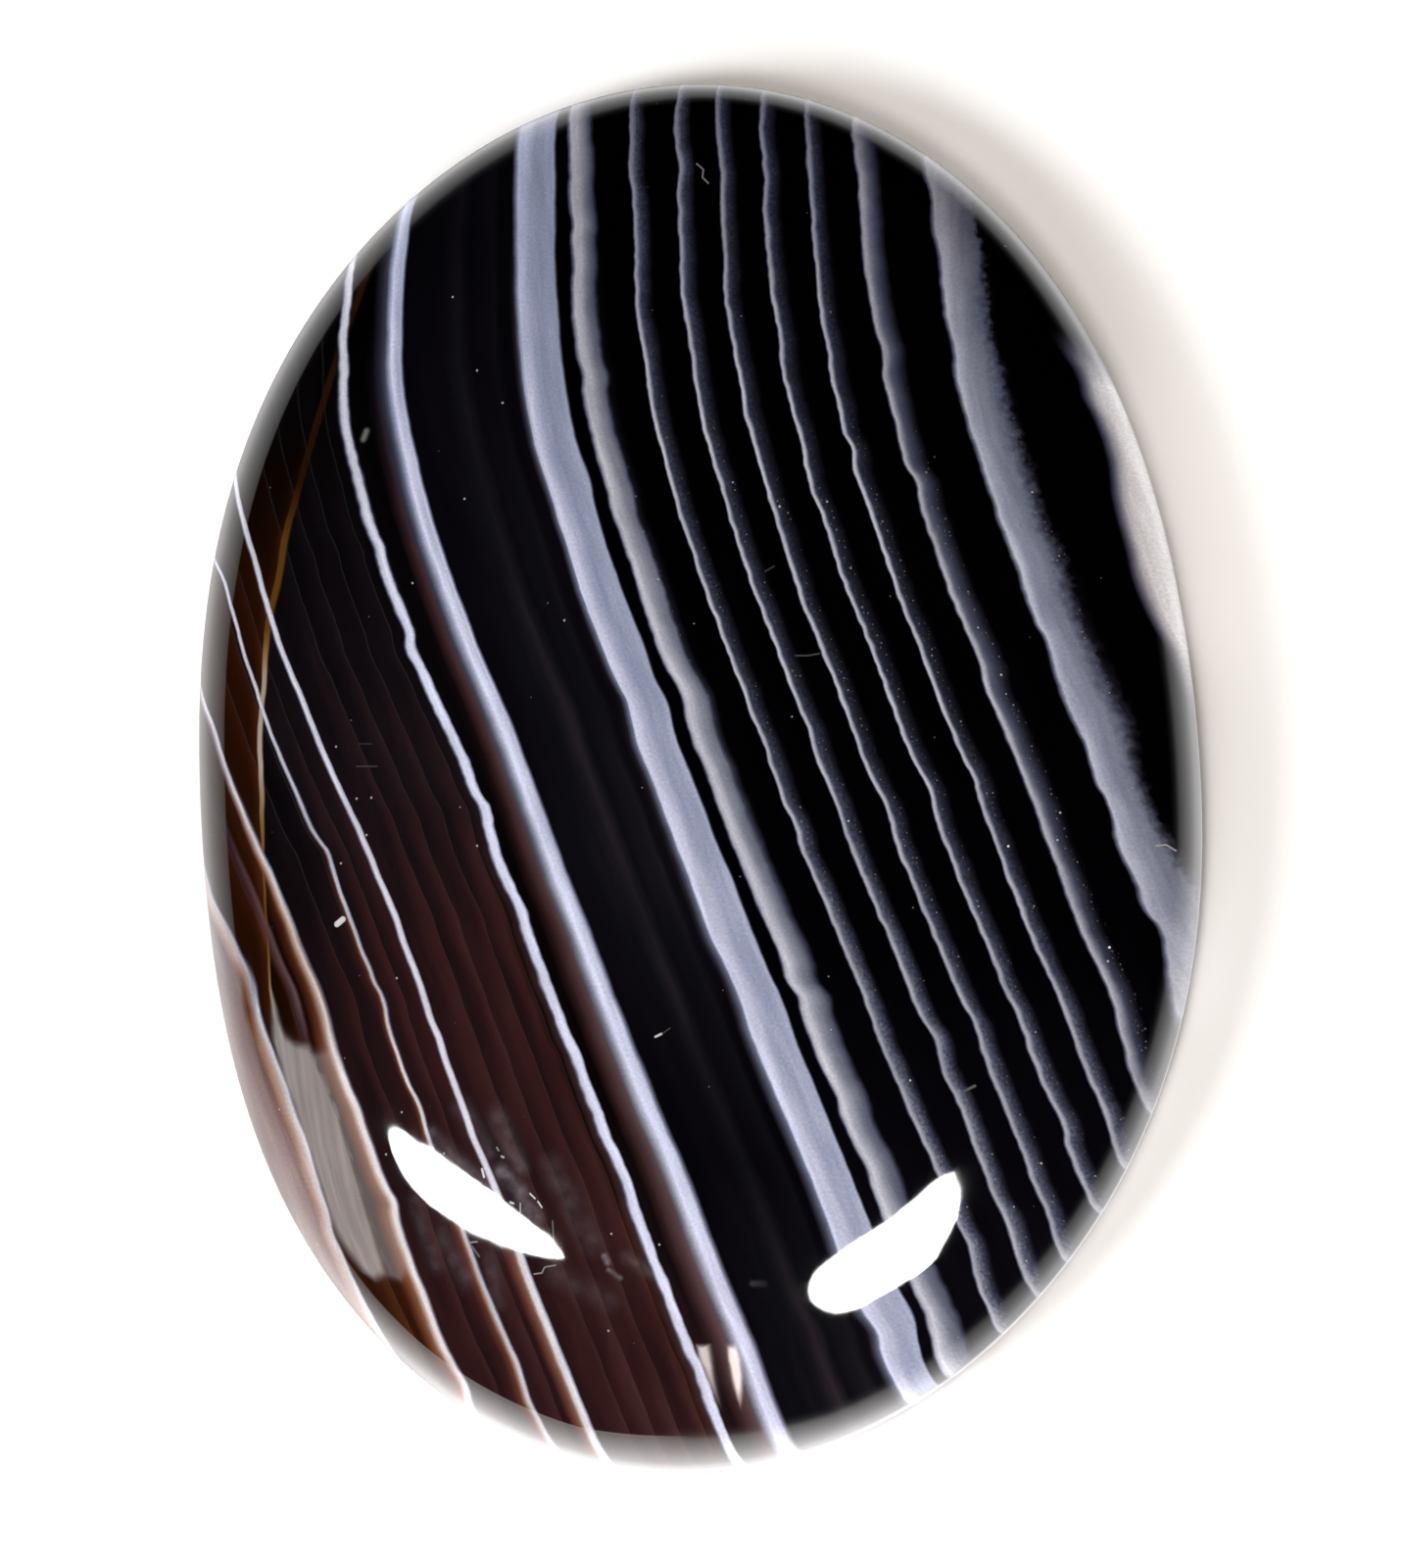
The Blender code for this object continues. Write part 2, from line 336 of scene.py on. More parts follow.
# Clear brown stone left of the ghost seam
GHOST_LEVELS = ((500, 15), (560, 50), (650, 55), (700, 135), (790, 148), (850, 85), (960, 50),
                (1020, 100), (1065, 0))
GHOST_SHAPE = ((-4.4, 0.0), (-3.4, 0.5), (-2.4, 1.0), (1.6, 1.0), (2.8, 0.5), (4.2, 0.0))
GHOST_WIDTH = ((540, 1.5), (640, 1.4), (700, 1.0), (830, 1.0), (880, 0.6), (1045, 0.5))
CLEAR_LEVELS = ((440, 2), (540, 6), (620, 11), (1050, 12))
CLEAR_ROWS = ((430, 490), (1090, 1040))   # it comes in and goes out again here
CLEAR_EDGE = (470.0, 540.0, 14.0, 1.5)    # rows, and how soft its edge is at them, in pixels
CLEAR_SHINE = (-16.0, -2.0, 1.0, 1.7)     # pixels right of the ghost seam, and gain there

# Where the clear stone changes its tint: (from, to) in pixels right of a seam or in rows
FIELD_EDGE = (-3.0, 3.0)              # from one field to the next
RUSTY_SIDE = (2.0, -2.0)              # rusty left of the amber seam
RUSTY_START = (-26.0, -16.0)          # rusty again just left of the ripple seam
RUSTY_END = (0.0, -4.0, 0.0, 0.6)     # and its share there
RUSTY_ROWS = (780.0, 1050.0)
DARK_SIDE = (-12.0, -20.0)            # and darker there
DARK_ROWS = (1270.0, 1220.0)
SMOKY_ROWS = (1000.0, 800.0, 0.0, 0.5)    # greyer further up, and its share there

LIGHT_LEVEL = 1.28      # radiance of a white surface facing up, through the polish
LIT_RANGE = (0.62, 1.5)
POLISH_WAVES = 0.0000007
POLISH_ROUGHNESS = (0.02, 0.045)
AGATE_IOR = 1.54
BRIGHTEST_LEVEL = 236.0

# Hairs, chips and scratches, and painted glints: points on the photo, half width and soft edge in pixels,
# level
MARKS_AND_GLINTS = (
    (((711, 167), (718, 173), (717, 181), (723, 187)), 0.7, 0.8, 120),
    (((812, 669), (824, 669), (836, 667)), 0.8, 0.8, 75),
    (((781, 583), (790, 578)), 0.8, 0.8, 60),
    (((374, 440), (371, 448)), 3.4, 3.0, 100),
    (((344, 943), (350, 938)), 3.2, 0.9, 205),
    (((985, 1113), (995, 1108)), 1.5, 1.0, 90),
    (((669, 1058), (675, 1055)), 1.2, 0.8, 200),
    (((677, 1054), (684, 1049)), 0.6, 0.8, 70),
    # A scratch with a painted glint along it
    (((1180, 863), (1190, 862), (1200, 868)), 1.0, 0.8, 170),
    (((366, 759), (379, 759)), 0.6, 0.8, 55),
    (((364, 782), (385, 782)), 0.6, 0.8, 70),
    # Painted glints: the left lamp's light sparkling in grainy smudges around its reflection
    (((541, 1218), (546, 1223)), 0.9, 0.8, 225),
    (((549, 1226), (553, 1232)), 0.9, 0.8, 225),
    (((531, 1228), (531, 1237)), 0.8, 0.8, 180),
    (((521, 1227), (524, 1228)), 1.2, 0.8, 220),
    (((492, 1193), (494, 1201)), 1.3, 0.8, 220),
    (((507, 1171), (509, 1174)), 1.0, 0.8, 140),
    (((512, 1180), (514, 1181)), 1.2, 0.8, 180),
    (((564, 1246), (565, 1266)), 0.8, 0.8, 115),
    (((479, 1268), (487, 1267)), 0.8, 0.8, 160),
    (((482, 1272), (489, 1282)), 1.2, 1.0, 105),
    (((545, 1300), (553, 1299), (556, 1293), (567, 1291)), 0.8, 0.8, 145),
    (((534, 1280), (560, 1284)), 1.5, 2.0, 85),
)

# Smudges on the polish with painted glare, the lamps' light that they scatter near the reflections, in the
# same way, broken up by grain
SMUDGE_GLARE = (
    (((472, 1130), (500, 1178)), 6.0, 14.0, 46),
    (((508, 1140), (530, 1190)), 6.0, 14.0, 54),
    (((512, 1195), (530, 1216), (546, 1242)), 7.0, 11.0, 80),
    (((440, 1156), (468, 1184), (498, 1210)), 4.0, 10.0, 56),
    (((424, 1226), (446, 1290)), 5.0, 12.0, 42),
    (((452, 1262), (476, 1306)), 5.0, 14.0, 44),
    (((500, 1286), (508, 1328)), 4.0, 12.0, 44),
    (((562, 1190), (604, 1268)), 7.0, 16.0, 42),
    (((566, 1300), (620, 1328)), 7.0, 14.0, 34),
    (((617, 1282), (620, 1288)), 3.5, 3.0, 84),
    (((621, 1296), (633, 1304)), 2.5, 2.5, 86),
    (((640, 1284), (664, 1298)), 5.0, 8.0, 52),
    (((768, 1310), (780, 1310)), 3.0, 2.5, 48),
)

# Tint of the smudges' painted glare
SMUDGE_GLARE_COLOUR = (1.1, 1.0, 1.15, 1.0)

# Specks of dust that stand out: (column, row)
DUST = ((462, 303), (513, 411), (487, 378), (474, 509), (405, 998), (285, 1132), (324, 1270),
        (410, 1135), (394, 1178), (624, 1259), (621, 1358), (673, 1270), (343, 762), (364, 815),
        (379, 814), (487, 863), (348, 881), (421, 595), (576, 633), (374, 852), (453, 1177))

# Light: name, share of the floor's light, azimuth, elevation and spread in degrees, colour
FLOOR_ALBEDO = (0.90, 0.89, 0.885, 1.0)
FLOOR_WHITE = 3.53      # power of an overhead lamp that makes the floor white
LAMPS = (
    ("low_left_lamp", 0.39, 206, 35, 18, (0.93, 1.0, 1.05)),
    ("low_near_lamp", 0.18, 254, 33, 22, (1.0, 1.0, 1.0)),
    ("high_lamp", 0.25, 254, 64, 17, (1.04, 1.0, 0.98)),
    ("overhead_lamp", 0.38, 0, 90, 25, (1.09, 1.0, 0.92)),
)

# What the polish mirrors: the pale ground, brightest towards the lamps, and dark above it
GROUND_EDGE = ((-1.0, 0.26), (-0.94, 0.15), (-0.87, 0.12), (-0.7, 0.02), (-0.56, -0.03),
               (0.0, -0.06), (0.3, -0.05), (0.64, -0.08), (0.93, -0.08),
               (1.0, -0.14))              # (towards +Y, height where the ground ends)
GROUND_GLOW = ((-0.1, 0.0), (-0.05, 0.02), (0.0, 0.06), (0.04, 0.18), (0.08, 0.33), (0.12, 0.42),
               (0.22, 0.6), (0.35, 0.78), (0.5, 0.95), (0.6, 1.0), (1.3, 1.0))
GROUND_SHINE = 2.3                        # radiance for a glow of 1; (depth, glow) above
GROUND_UNDER = (0.12, 0.48)               # share of it straight below, towards +Y and elsewhere
BRIGHT_AZIMUTH, BRIGHT_GAIN = math.radians(256), 4.5


def linear(value):
    """Light value, from 0 to 1, of an eight-bit colour value."""
    share = value / 255
    return share / 12.92 if share <= 0.04045 else ((share + 0.055) / 1.055) ** 2.4


# The dome's form

def rim_radius(angle):
    low, high = CAD_BOX
    width, length = high.x - low.x, high.y - low.y
    ellipse = 1 / math.hypot(math.cos(angle) / width, math.sin(angle) / length)
    waves = sum(by_cos * math.cos(turns * angle) + by_sin * math.sin(turns * angle)
                for turns, by_cos, by_sin in RIM_WAVES)
    return ellipse * (1 + waves)


def rim_fit():
    """Middle and scale, along X and Y, that bring the rim's curve into the solid's box."""
    low, high = CAD_BOX
    curve = []
    for step in range(TURN_STEPS):
        angle = math.tau * step / TURN_STEPS
        curve.append((rim_radius(angle) * math.cos(angle), rim_radius(angle) * math.sin(angle)))
    fit = []
    for axis in (0, 1):
        values = [point[axis] for point in curve]
        middle = (min(values) + max(values)) / 2
        fit.append((middle, (high[axis] - low[axis]) / (max(values) - min(values))))
    return fit


RIM_FIT = rim_fit()
DOME_RISE = CAD_BOX[1].z - GIRDLE_TOP


def rim_point(angle, share=1.0):
    """Point of the oval at this share of the way from the axis to the rim."""
    reach = rim_radius(angle) * share
    (middle_x, scale_x), (middle_y, scale_y) = RIM_FIT
    return Vector(((reach * math.cos(angle) - middle_x) * scale_x,
                   (reach * math.sin(angle) - middle_y) * scale_y))


def dome_height(x, y):
    """Height of the dome over a point of the plan, or None beyond the rim."""
    (middle_x, scale_x), (middle_y, scale_y) = RIM_FIT
    x, y = x / scale_x + middle_x, y / scale_y + middle_y
    share = math.hypot(x, y) / rim_radius(math.atan2(y, x))
    if share >= 1:
        return None
    return GIRDLE_TOP + DOME_RISE * math.sqrt(1 - share * share)


def dome_normal(point):
    """Outward direction of the polished surface at a point of the dome."""
    step = 0.00002
    level = [dome_height(point.x + dx, point.y + dy) or GIRDLE_TOP
             for dx, dy in ((step, 0), (-step, 0), (0, step), (0, -step))]
    return Vector((level[1] - level[0], level[3] - level[2], 2 * step)).normalized()


# The camera

def camera_axes():
    """The camera's right, up and backward directions."""
    back = Vector((math.tan(CAMERA_TILT_X), -math.tan(CAMERA_TILT_Y), 1)).normalized()
    up = (Vector((0, 1, 0)) - back * back.y).normalized()
    return up.cross(back), up, back


RIGHT, UP, BACK = camera_axes()
CENTRE = (LOOK_AT + RIGHT * (PHOTO_WIDTH / 2 - LOOK_COLUMN) * PIXEL
          - UP * (PHOTO_HEIGHT / 2 - LOOK_ROW) * PIXEL)
EYE = CENTRE + BACK * CAMERA_DISTANCE


def photo_ray(column, row):
    """Direction in which the camera sees a pixel of the photo."""
    return ((column - PHOTO_WIDTH / 2) * PIXEL * RIGHT
            + (PHOTO_HEIGHT / 2 - row) * PIXEL * UP - CAMERA_DISTANCE * BACK).normalized()


def on_dome(column, row):
    """Point of the dome that the photo shows at a pixel, or None beside it."""
    ray = photo_ray(column, row)
    height = CAD_BOX[1].z
    for _ in range(40):
        point = EYE + ray * ((height - EYE.z) / ray.z)
        found = dome_height(point.x, point.y)
        if found is None:
            return None
        height += (found - height) * 0.7
    return point


def add_camera():
    data = bpy.data.cameras.new("camera")
    data.sensor_fit = "AUTO"
    data.sensor_width = SENSOR
    data.lens = SENSOR * CAMERA_DISTANCE / (PHOTO_HEIGHT * PIXEL)
    data.clip_start = 0.01
    data.clip_end = 20.0
    camera = bpy.data.objects.new("camera", data)
    camera.matrix_world = Matrix.Translation(EYE) @ Matrix((RIGHT, UP, BACK)).transposed().to_4x4()
    bpy.context.scene.collection.objects.link(camera)
    bpy.context.scene.camera = camera


# The stone's mesh

def stone_rings():
    """Rings of the stone from the dome's top to the back: (share of the rim, inset, height)."""
    rings = []
    for row in range(1, DOME_ROWS + 1):
        angle = math.pi / 2 * (1 - row / DOME_ROWS)
        rings.append((math.cos(angle), 0.0, GIRDLE_TOP + DOME_RISE * math.sin(angle)))
    rings.append((1.0, 0.0, (GIRDLE_TOP + BACK_BEVEL) / 2))
    for step in range(BEVEL_STEPS + 1):
        angle = math.pi / 2 * step / BEVEL_STEPS
        rings.append((1.0, BACK_BEVEL * (1 - math.cos(angle)), BACK_BEVEL * (1 - math.sin(angle))))
    rings += [(share, 0.0, 0.0) for share in BACK_RINGS]
    return rings


def stone_mesh():
    verts = [(0.0, 0.0, CAD_BOX[1].z)]
    for share, inset, height in stone_rings():
        for step in range(TURN_STEPS):
            point = rim_point(math.tau * step / TURN_STEPS, share)
            point *= 1 - inset / point.length
            verts.append((point.x, point.y, height))
    verts.append((0.0, 0.0, 0.0))
    faces = []
    rings = len(stone_rings())
    for step in range(TURN_STEPS):
        after = (step + 1) % TURN_STEPS
        faces.append((0, 1 + step, 1 + after))
        for ring in range(rings - 1):
            upper, lower = 1 + ring * TURN_STEPS, 1 + (ring + 1) * TURN_STEPS
            faces.append((upper + step, lower + step, lower + after, upper + after))
        last = 1 + (rings - 1) * TURN_STEPS
        faces.append((last + after, last + step, len(verts) - 1))
    mesh = bpy.data.meshes.new("agate_stone")
    mesh.from_pydata(verts, [], faces)
    mesh.update()
    mesh.shade_smooth()
    mesh.set_sharp_from_angle(angle=SHARP_ANGLE)
    return mesh


# The agate's nodes

class Nodes:
    """Adds a material's nodes; each input may be a number, a colour or another node's output."""

    def __init__(self, tree):
        self.tree = tree

    def add(self, kind, inputs, output=0, **settings):
        node = self.tree.nodes.new(kind)
        for name, value in settings.items():
            setattr(node, name, value)
        for key, value in inputs.items():
            if isinstance(value, bpy.types.NodeSocket):
                self.tree.links.new(value, node.inputs[key])
            elif value is not None:
                node.inputs[key].default_value = value
        return node.outputs[output]

    def math(self, operation, *values):
        return self.add("ShaderNodeMath", dict(enumerate(values)), operation=operation)

    def clamp(self, value, low=0.0, high=1.0):
        return self.add("ShaderNodeClamp", {"Value": value, "Min": low, "Max": high},
                        clamp_type="RANGE")

    def vector(self, operation, *values, output=0):
        return self.add("ShaderNodeVectorMath", dict(enumerate(values)), output=output,
                        operation=operation)

    def step(self, value, start, end, low=0.0, high=1.0):
        """From low to high as the value goes from start to end, smoothly."""
        return self.add("ShaderNodeMapRange", {"Value": value, "From Min": start, "From Max": end,
                                               "To Min": low, "To Max": high},
                        interpolation_type="SMOOTHSTEP")

    def slope(self, value, start, end, low=0.0, high=1.0):
        """From low to high as the value goes from start to end, in a straight line."""
        pace = (high - low) / (end - start)
        return self.clamp(self.math("MULTIPLY_ADD", value, pace, low - start * pace), low, high)

    def mix(self, share, below, above):
        return self.add("ShaderNodeMix", {0: share, 2: below, 3: above}, data_type="FLOAT")

    def colour(self, blend, share, below, above):
        return self.add("ShaderNodeMix", {0: share, 6: below, 7: above}, output=2,
                        data_type="RGBA", blend_type=blend)

    def plane(self, x, y):
        return self.add("ShaderNodeCombineXYZ", {0: x, 1: y})

    def noise(self, place, scale, detail=1.0):
        return self.add("ShaderNodeTexNoise", {"Vector": place, "Scale": scale, "Detail": detail},
                        noise_dimensions="2D")

    def curve(self, value, points, low, high, handle="VECTOR"):
        """Line through (value, result) points; the results lie between low and high."""
        start, end = points[0][0], points[-1][0]
        along = self.math("MULTIPLY_ADD", value, 1 / (end - start), start / (start - end))
        node = self.tree.nodes.new("ShaderNodeFloatCurve")
        line = node.mapping.curves[0]
        shares = [((at - start) / (end - start), (result - low) / (high - low))
                  for at, result in points]
        while len(line.points) < len(shares):
            line.points.new(0.5, 0.5)
        for point, share in zip(line.points, shares):
            point.location = share
            point.handle_type = handle
        node.mapping.use_clip = False
        node.mapping.extend = "HORIZONTAL"
        node.mapping.update()
        self.tree.links.new(along, node.inputs["Value"])
        return self.math("MULTIPLY_ADD", node.outputs[0], high - low, low)

    def tint(self, level, swatches):
        """Red, green and blue, as shares of green, that a colour family has at a level."""
        place = self.math("MULTIPLY", level, 1 / 255)
        node = self.tree.nodes.new("ShaderNodeValToRGB")
        elements = node.color_ramp.elements
        while len(elements) < len(swatches):
            elements.new(0.5)
        for element, (at, colour) in zip(elements, swatches):
            element.position = at / 255
            element.color = [linear(value) / linear(at) / TINT_SPAN for value in colour] + [1.0]
        self.tree.links.new(place, node.inputs[0])
        return node.outputs[0]

    def light(self, level):
        """Surface colour, as a grey, that the picture shows at this level."""
        raised = self.math("MULTIPLY_ADD", level, 1 / 255 / 1.055, 0.055 / 1.055)
        curved = self.math("POWER", raised, 2.4)
        toe = self.math("MAXIMUM", self.math("MULTIPLY_ADD", level, -0.00008, 0.00083), 0.0)
        value = self.math("MAXIMUM", self.math("SUBTRACT", curved, toe), 0.0)
        return self.math("MULTIPLY", value, TINT_SPAN / LIGHT_LEVEL)


def band_place(point):
    """Column and row of a point of the stone in the bands' own flat picture."""
    return (LOOK_COLUMN + (point.x + BAND_LEAN * point.z) / PIXEL, LOOK_ROW - point.y / PIXEL)


def seam_points(name):
    """The seam's (row, column) points, run on straight beyond the stone at both ends."""
    found = [on_dome(column, row) for column, row in SEAMS[name]]
    points = sorted(band_place(point)[::-1] for point in found if point)
    for end, inner, row in ((0, 3, 0.0), (-1, -4, float(PHOTO_HEIGHT))):
        lean = (points[end][1] - points[inner][1]) / (points[end][0] - points[inner][0])
        points.append((row, points[end][1] + lean * (row - points[end][0])))
    return sorted(points)


class Pattern:
    """Places in the bands' flat picture, as nodes."""

    def __init__(self, nodes):
        where = nodes.add("ShaderNodeTexCoord", {}, output="Object")
        split = nodes.tree.nodes.new("ShaderNodeSeparateXYZ")
        nodes.tree.links.new(where, split.inputs[0])
        x, y, z = split.outputs
        leaning = nodes.math("MULTIPLY_ADD", z, BAND_LEAN, x)
        column = nodes.math("MULTIPLY_ADD", leaning, 1 / PIXEL, LOOK_COLUMN)
        row = nodes.math("MULTIPLY_ADD", y, -1 / PIXEL, LOOK_ROW)
        self.seams = {name: nodes.curve(row, seam_points(name), -400.0, 2000.0, "AUTO")
                      for name in SEAMS}
        self.place = nodes.plane(column, row)
        self.flow = nodes.plane(nodes.math("SUBTRACT", column, self.seams["broad_left"]),
                                nodes.math("MULTIPLY", row, 0.12))
        waver = nodes.slope(nodes.noise(self.place, 0.03, 2.0), 0.2, 0.8, -1.3, 0.1)
        wobble = nodes.slope(nodes.noise(self.place, 0.055, 1.0), 0.2, 0.8, -0.9, 0.9)
        self.row = nodes.math("ADD", row, waver)
        column = nodes.math("ADD", column, waver)
        wobbly = nodes.math("ADD", column, wobble)
        self.from_seam = {name: nodes.math("SUBTRACT", wobbly if name in WOBBLY else column, seam)
                          for name, seam in self.seams.items()}

    def share(self, nodes, left, right):
        """Share of the way from one seam to the next."""
        width = nodes.math("SUBTRACT", self.seams[right], self.seams[left])
        return nodes.math("DIVIDE", self.from_seam[left], width)


def across(nodes, place, row, profiles):
    """Level across a band, blended down the rows from one profile to the next."""
    level = None
    for index, (at, stops) in enumerate(profiles):
        here = nodes.curve(place, stops, 0.0, 255.0)
        if level is None:
            level = here
        else:
            share = nodes.slope(row, profiles[index - 1][0], at)
            level = nodes.mix(share, level, here)
    return level


def nearest_fine(nodes, pattern):
    """Pixels right of the fine seam last passed, and the strength of that band's shoulder."""
    far = 1000.0
    nearest, strength = None, None
    for name, gain in FINE_BANDS:
        place = pattern.from_seam[name]
        before = nodes.math("LESS_THAN", place, -8.0)
        place = nodes.math("MULTIPLY_ADD", before, far, place)
        if nearest is None:
            nearest, strength = place, gain
        else:
            passed = nodes.math("LESS_THAN", place, nearest)
            strength = nodes.mix(passed, strength, gain)
            nearest = nodes.math("MINIMUM", place, nearest)
    return nearest, strength


def specks(nodes, place, cell, radius, chance, low, high):
    """Small dots, one in a chance share of the cells, with levels from low to high."""
    node = nodes.tree.nodes.new("ShaderNodeTexVoronoi")
    node.voronoi_dimensions = "2D"
    node.inputs["Scale"].default_value = 1 / cell
    nodes.tree.links.new(place, node.inputs["Vector"])
    split = nodes.tree.nodes.new("ShaderNodeSeparateColor")
    nodes.tree.links.new(node.outputs["Color"], split.inputs[0])
    size = nodes.slope(split.outputs[2], 0.0, 1.0, 0.6 * radius, 1.3 * radius)
    from_dot = nodes.math("SUBTRACT", nodes.math("MULTIPLY", node.outputs["Distance"], cell), size)
    dot = nodes.step(from_dot, 0.6, -0.6)
    picked = nodes.math("LESS_THAN", split.outputs[0], chance)
    level = nodes.slope(split.outputs[1], 0.0, 1.0, low, high)
    return nodes.math("MULTIPLY", nodes.math("MULTIPLY", dot, picked), level)


def band_levels(nodes, pattern):
    """Level of all white layers together, and their tint weighted by it."""
    mottle = nodes.slope(nodes.noise(pattern.flow, 0.11, 2.0), 0.25, 0.75, 0.93, 1.05)
    grain = nodes.slope(nodes.noise(pattern.place, 0.35, 1.0), 0.2, 0.8, 0.95, 1.05)
    layers = []
    for name, profiles, tints, change, most in BANDS:
        place = pattern.from_seam[name]
        level = across(nodes, place, pattern.row, profiles)
        layers.append((level, tints, change and nodes.curve(place, change, -1.5, 1.5), most))
    for left, right, profiles, tints in WIDE_BANDS:
        share = pattern.share(nodes, left, right)
        if left == "shore_left":
            ragged = nodes.slope(nodes.noise(pattern.place, 0.12, 3.0), 0.3, 0.7, -0.06, 0.06)
            ragged = nodes.math("MULTIPLY", ragged, nodes.step(share, 0.5, 0.9))
            share = nodes.math("ADD", share, ragged)
        layers.append((across(nodes, share, pattern.row, profiles), tints, None, 1.0))

    place, strength = nearest_fine(nodes, pattern)
    fine = across(nodes, place, pattern.row, FINE_LEVELS)
    shoulder = nodes.step(place, 2.0, 6.0)
    cloudy = nodes.slope(nodes.noise(pattern.place, 0.28, 2.0), 0.25, 0.75, 0.75, 1.25)
    strength = nodes.math("MULTIPLY", strength, nodes.math("MULTIPLY", cloudy, 0.92))
    fine = nodes.math("MULTIPLY", fine, nodes.mix(shoulder, 1.0, strength))
    layers.append((fine, FINE_TINT, None, 1.0))

    total, tinted = None, None
    for level, ((top, above), (bottom, below)), change, most in layers:
        tint = nodes.slope(pattern.row, top, bottom, above, below)
        if change:
            tint = nodes.clamp(nodes.math("ADD", tint, change), -1.0, most)
        if total is None:
            total, tinted = level, nodes.math("MULTIPLY", level, tint)
        else:
            total = nodes.math("ADD", total, level)
            tinted = nodes.math("MULTIPLY_ADD", level, tint, tinted)
    tint = nodes.math("DIVIDE", tinted, nodes.math("MAXIMUM", total, 0.1))
    total = nodes.math("MULTIPLY", nodes.math("MULTIPLY", total, mottle), grain)
    return nodes.math("MINIMUM", total, BRIGHTEST_LEVEL), tint, place


def speck_levels(nodes, pattern, fine_place):
    """Grainy specks on the right of the fine bands and of the wide grey one."""
    shoulder = nodes.math("MULTIPLY", nodes.step(fine_place, 2.0, 6.0),
                          nodes.step(fine_place, 17.0, 12.0))
    outer = nodes.math("MULTIPLY", nodes.step(pattern.from_seam["fine_6"], 3.0, 7.0),
                       nodes.step(pattern.from_seam["fine_6"], 24.0, 17.0))
    shore = nodes.math("MULTIPLY", nodes.step(pattern.from_seam["shore_right"], -16.0, -6.0),
                       nodes.step(pattern.from_seam["shore_right"], 10.0, 2.0))
    milky = nodes.math("MULTIPLY", nodes.step(pattern.from_seam["milky"], 8.0, 14.0),
                       nodes.step(pattern.from_seam["milky"], 30.0, 24.0))
    zone = nodes.math("ADD", nodes.math("ADD", shoulder, outer), nodes.math("ADD", shore, milky))
    zone = nodes.math("MULTIPLY", zone, nodes.step(pattern.row, 340.0, 560.0))
    grains = nodes.math("MULTIPLY", zone,
                        specks(nodes, pattern.place, 6.0, 0.8, 0.6, 40.0, 125.0))
    sparks = nodes.math("MULTIPLY", zone,
                        specks(nodes, pattern.place, 24.0, 1.0, 0.45, 120.0, 230.0))
    return nodes.math("MAXIMUM", grains, sparks)


def stroke_level(nodes, place, start, end, half_width, soft, level):
    """A fine straight stroke from one point of the photo to another; hairs, chips, scratches, painted glints
    and the smudges' painted glare are drawn with it.
    """
    start, end = (Vector(band_place(on_dome(*point)) + (0.0,)) for point in (start, end))
    away = nodes.vector("SUBTRACT", place, start)
    run = end - start
    gap = nodes.vector("DOT_PRODUCT", away, run / run.length_squared, output=1)
    gap = nodes.clamp(gap)
    nearest = nodes.vector("SCALE", run)
    nodes.tree.links.new(gap, nearest.node.inputs["Scale"])
    distance = nodes.vector("LENGTH", nodes.vector("SUBTRACT", away, nearest), output=1)
    return nodes.step(distance, half_width + soft, max(half_width - soft, 0.0), 0.0, level)


def stroke_levels(nodes, pattern, marks):
    total = None
    for points, half_width, soft, level in marks:
        for start, end in zip(points, points[1:]):
            stroke = stroke_level(nodes, pattern.place, start, end, half_width, soft, level)
            total = stroke if total is None else nodes.math("MAXIMUM", total, stroke)
    return total


def dust_levels(nodes, pattern):
    nearest = 1000.0
    for column, row in DUST:
        centre = Vector(band_place(on_dome(column, row)) + (0.0,))
        distance = nodes.vector("DISTANCE", pattern.place, centre, output=1)
        nearest = nodes.math("MINIMUM", nearest, distance)
    speck = nodes.step(nearest, 1.8, 0.6, 0.0, 170.0)
    return nodes.math("MAXIMUM", speck, specks(nodes, pattern.place, 95.0, 0.8, 0.5, 60.0, 150.0))


# Painted glare: smudges lit up by the lamps near their reflections, drawn as colour
def smudge_glare_levels(nodes, pattern):
    level = stroke_levels(nodes, pattern, SMUDGE_GLARE)
    grain = nodes.slope(nodes.noise(pattern.place, 0.07, 4.0), 0.3, 0.7, 0.6, 1.2)
    return nodes.math("MULTIPLY", level, grain)


def faint_lines(nodes, pattern):
    """Factor of the clear stone's level, which grows towards faint lines, and their level."""
    slow, crest = None, None
    for left, right, start, end, gap in FAINT_LINES:
        share = pattern.share(nodes, left, right)
        tooth = nodes.math("FRACT", nodes.math("MULTIPLY_ADD", share, 1 / gap, -start / gap))
        inside = nodes.math("MULTIPLY", nodes.step(share, start, start + 0.03),
                            nodes.math("LESS_THAN", share, end))
        tooth = nodes.math("MULTIPLY", tooth, inside)
        slow = tooth if slow is None else nodes.math("ADD", slow, tooth)
    crest = nodes.math("MULTIPLY", nodes.math("POWER", slow, 16.0),
                       nodes.curve(pattern.row, FAINT_CREST, 0.0, 100.0))
    slow = nodes.math("MULTIPLY", nodes.math("POWER", slow, 2.0),
                      nodes.step(pattern.row, *FAINT_ROWS))
    return nodes.math("MULTIPLY_ADD", slow, FAINT_GAIN, 1.0), crest


